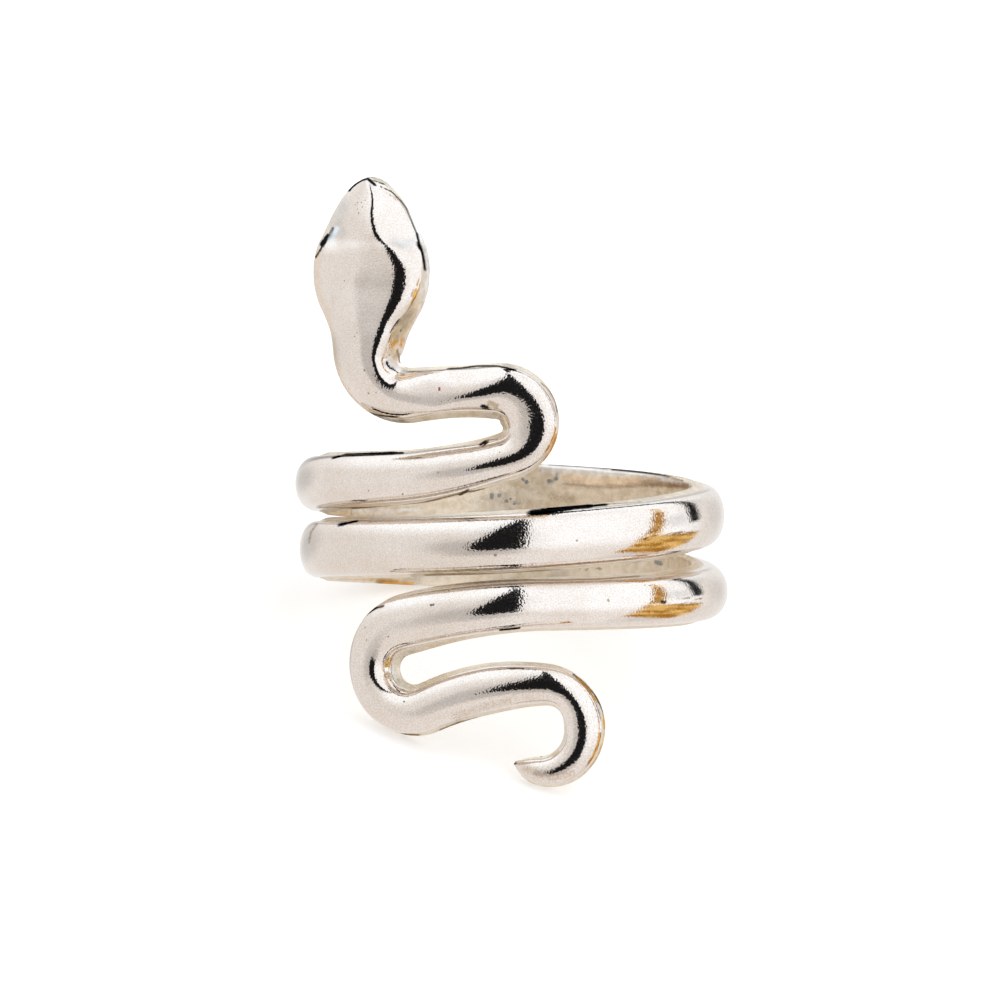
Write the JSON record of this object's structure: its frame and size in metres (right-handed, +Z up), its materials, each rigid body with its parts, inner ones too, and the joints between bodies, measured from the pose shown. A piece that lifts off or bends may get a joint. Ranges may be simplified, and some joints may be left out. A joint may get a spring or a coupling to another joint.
{
  "type": "snake wrap ring",
  "caption": "Finger ring cast as a snake: the body winds round the finger, with a flat S and head at the top and a loop, a hook and a pointed tail below.",
  "frame": {"origin": "centre of the ring's box, on the surface that it lies on", "axes": "+Z up from that surface, -Y towards the viewer of the snake's head and tail, +X to their right"},
  "size_m": [0.0228, 0.0238, 0.0235],
  "materials": {
    "silver": "cast sterling silver, polished on the crown, left matt inside and on the flanks"
  },
  "bodies": {
    "root": {"snake_band": "silver"}
  },
  "joints": []
}
